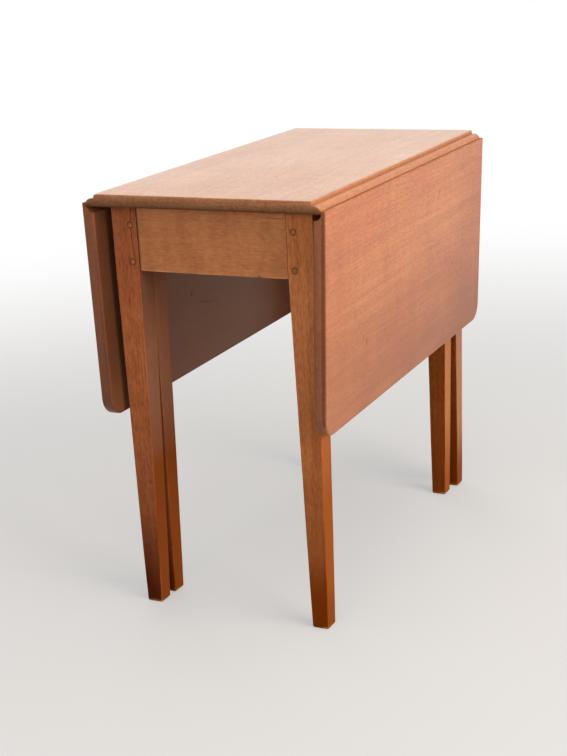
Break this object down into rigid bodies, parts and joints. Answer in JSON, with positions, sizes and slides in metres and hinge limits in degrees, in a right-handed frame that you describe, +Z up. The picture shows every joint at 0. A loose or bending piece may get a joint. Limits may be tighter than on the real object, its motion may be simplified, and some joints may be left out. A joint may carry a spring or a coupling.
{
  "type": "drop-leaf swing-leg table",
  "caption": "Drop-leaf table: a narrow fixed top, hanging leaves on rule joints, tapered legs, and swing legs on wooden knuckle hinges that carry the raised leaves.",
  "frame": {"origin": "on the floor, under the middle of the fixed top", "axes": "+Y along the table towards its far end, +X across it towards the right leaf, +Z up"},
  "size_m": [0.4286, 0.786, 0.73],
  "materials": {
    "top_mahogany": "satin French polish, open straight grain",
    "leaf_mahogany": "satin French polish, open straight grain",
    "leg_mahogany": "satin polish, worn at the arrises and the feet",
    "apron_mahogany": "satin polish",
    "rail_beech": "plain unpolished secondary wood, darkened with age",
    "peg_wood": "end grain, flush and polished over",
    "iron_hinge": "dark wrought iron, dull",
    "steel_screw": "dull steel, slotted heads"
  },
  "bodies": {
    "frame": {"apron_far": "apron_mahogany", "apron_near": "apron_mahogany", "apron_pegs_far": "peg_wood", "apron_pegs_near": "peg_wood", "glue_block_far": "rail_beech", "glue_block_left_far": "rail_beech", "glue_block_left_near": "rail_beech", "glue_block_near": "rail_beech", "glue_block_right_far": "rail_beech", "glue_block_right_near": "rail_beech", "glue_block_screws": "steel_screw", "hinge_pin_left_1": "iron_hinge", "hinge_pin_left_2": "iron_hinge", "hinge_pin_left_3": "iron_hinge", "hinge_pin_right_1": "iron_hinge", "hinge_pin_right_2": "iron_hinge", "hinge_pin_right_3": "iron_hinge", "hinge_screws_top_left": "steel_screw", "hinge_screws_top_right": "steel_screw", "hinge_top_plate_left_1": "iron_hinge", "hinge_top_plate_left_2": "iron_hinge", "hinge_top_plate_left_3": "iron_hinge", "hinge_top_plate_right_1": "iron_hinge", "hinge_top_plate_right_2": "iron_hinge", "hinge_top_plate_right_3": "iron_hinge", "knuckle_pin_left": "iron_hinge", "knuckle_pin_right": "iron_hinge", "knuckle_rail_left": "rail_beech", "knuckle_rail_right": "rail_beech", "knuckle_rail_screws_left": "steel_screw", "knuckle_rail_screws_right": "steel_screw", "leg_far_left": "leg_mahogany", "leg_far_right": "leg_mahogany", "leg_near_left": "leg_mahogany", "leg_near_right": "leg_mahogany", "side_rail_left": "rail_beech", "side_rail_pegs_left": "peg_wood", "side_rail_pegs_right": "peg_wood", "side_rail_right": "rail_beech", "top_board": "top_mahogany"},
    "gate_left": {"gate_arm_left": "rail_beech", "gate_leg_left": "leg_mahogany", "gate_leg_pegs_left": "peg_wood"},
    "gate_right": {"gate_arm_right": "rail_beech", "gate_leg_pegs_right": "peg_wood", "gate_leg_right": "leg_mahogany"},
    "leaf_left": {"hinge_leaf_plate_left_1": "iron_hinge", "hinge_leaf_plate_left_2": "iron_hinge", "hinge_leaf_plate_left_3": "iron_hinge", "hinge_screws_leaf_left": "steel_screw", "leaf_left": "leaf_mahogany"},
    "leaf_right": {"hinge_leaf_plate_right_1": "iron_hinge", "hinge_leaf_plate_right_2": "iron_hinge", "hinge_leaf_plate_right_3": "iron_hinge", "hinge_screws_leaf_right": "steel_screw", "leaf_right": "leaf_mahogany"}
  },
  "joints": [
    {"name": "leaf_right_hinge", "type": "hinge", "parent": "frame", "child": "leaf_right", "pos_m": [0.1958, 0, 0.7115], "axis": [0, -1, 0], "range_deg": [0, 92.25]},
    {"name": "leaf_left_hinge", "type": "hinge", "parent": "frame", "child": "leaf_left", "pos_m": [-0.1958, 0, 0.7115], "axis": [0, 1, 0], "range_deg": [0, 90.7]},
    {"name": "gate_right_hinge", "type": "hinge", "parent": "frame", "child": "gate_right", "pos_m": [0.15825, 0.02, 0.6545], "axis": [0, 0, -1], "range_deg": [-0.7, 1.5]},
    {"name": "gate_left_hinge", "type": "hinge", "parent": "frame", "child": "gate_left", "pos_m": [-0.15825, -0.02, 0.6545], "axis": [0, 0, -1], "range_deg": [-1.7, 2.3]}
  ]
}
